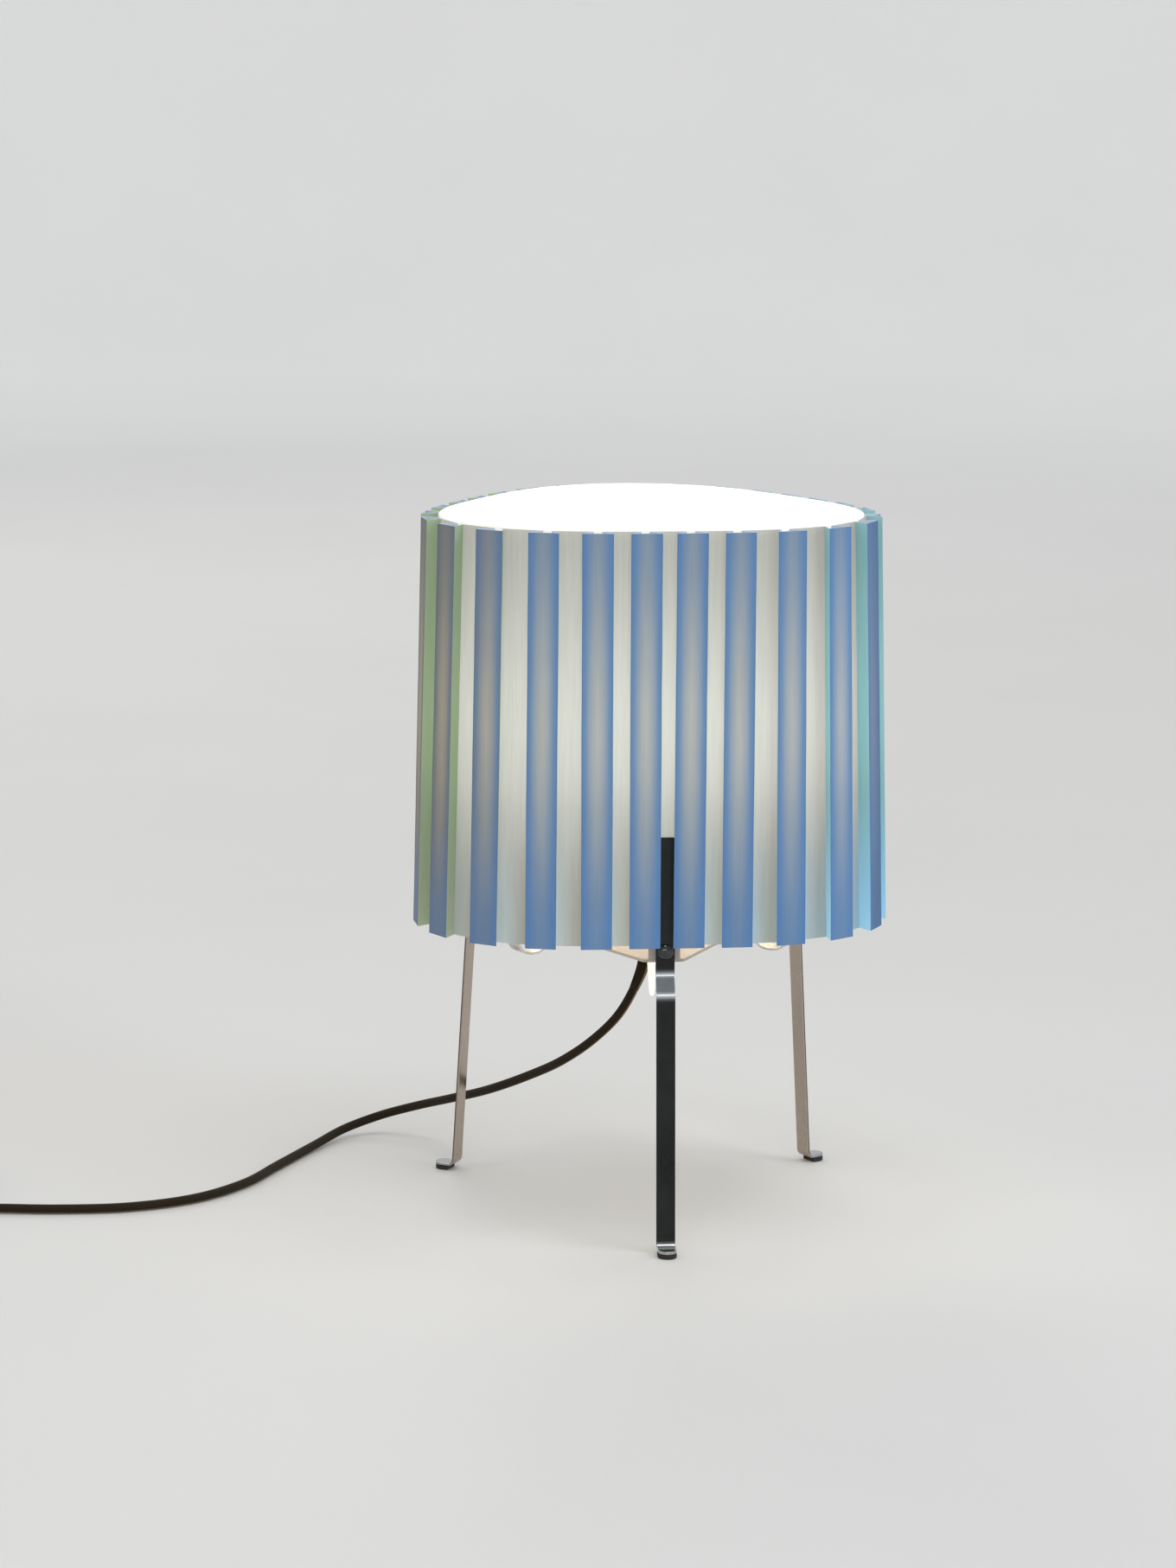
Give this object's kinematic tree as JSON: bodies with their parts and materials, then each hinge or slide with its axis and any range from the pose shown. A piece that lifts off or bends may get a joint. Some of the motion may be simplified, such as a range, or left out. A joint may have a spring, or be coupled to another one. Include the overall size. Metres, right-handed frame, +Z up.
{
  "type": "tripod table lamp",
  "caption": "Table lamp on three bent strip legs, with a three-lobed pleated shade standing in the legs' fingers, a screw-in bulb, a pull switch and a textile cord.",
  "frame": {"origin": "on the floor, in the middle of the lamp's footprint without its cord", "axes": "+Z up; the front leg points along -Y and +X is to the right seen from the front"},
  "size_m": [0.6411, 0.2527, 0.3655],
  "materials": {
    "dark_steel": "satin dark nickel-like steel",
    "zinc_steel": "bright zinc-plated steel",
    "plate_finish": "satin cream paint",
    "rubber": "matt",
    "pleat_sheet": "matt folded translucent sheet, pale blue",
    "liner_sheet": "matt white",
    "white_plastic": "satin",
    "black_plastic": "satin",
    "brass": "bright",
    "white_cord": "matt cotton",
    "opal_glass": "opal, lit from inside",
    "braid": "braided textile, dark olive brown"
  },
  "bodies": {
    "base": {"leg_front": "dark_steel", "leg_screw_front": "dark_steel", "foot_pad_front": "rubber", "leg_nut_front": "zinc_steel", "leg_spacer_front": "zinc_steel", "leg_right": "dark_steel", "leg_screw_right": "dark_steel", "foot_pad_right": "rubber", "leg_nut_right": "zinc_steel", "leg_spacer_right": "zinc_steel", "leg_left": "dark_steel", "leg_screw_left": "dark_steel", "foot_pad_left": "rubber", "leg_nut_left": "zinc_steel", "leg_spacer_left": "zinc_steel", "lobe_arm_right": "zinc_steel", "arm_rivet_right": "zinc_steel", "lobe_arm_rear": "zinc_steel", "arm_rivet_rear": "zinc_steel", "lobe_arm_left": "zinc_steel", "arm_rivet_left": "zinc_steel", "hub_plate": "plate_finish", "holder_nipple": "zinc_steel", "holder_washer": "zinc_steel", "holder_nut": "zinc_steel", "plug_pin_left": "zinc_steel", "plug_pin_right": "zinc_steel", "cord_grip": "black_plastic", "switch_block": "black_plastic", "cord_tie": "black_plastic", "plug_body": "black_plastic", "switch_housing": "white_plastic", "holder_shell": "white_plastic", "pull_guide": "white_plastic", "holder_sleeve": "brass", "centre_contact": "brass", "cord_lead": "braid", "cord_coil": "braid", "cord_tail": "braid"},
    "shade": {"shade_pleated_cover": "pleat_sheet", "shade_liner": "liner_sheet"},
    "pull": {"pull_cord": "white_cord", "pull_drop": "white_plastic"},
    "bulb": {"bulb_contact": "brass", "bulb_insulator": "black_plastic", "bulb_cap": "zinc_steel", "bulb_glass": "opal_glass"}
  },
  "joints": [
    {"name": "shade_lift", "type": "slide", "parent": "base", "child": "shade", "axis": [0, 0, 1], "range_m": [0, 0.06]},
    {"name": "pull_switch", "type": "slide", "parent": "base", "child": "pull", "axis": [0, 0, -1], "range_m": [0, 0.009], "stiffness_N_per_m": 250},
    {"name": "bulb_unscrew", "type": "hinge", "parent": "base", "child": "bulb", "pos_m": [0, -0.0041, 0.2], "axis": [0, 0, 1], "range_deg": [0, 360]}
  ]
}
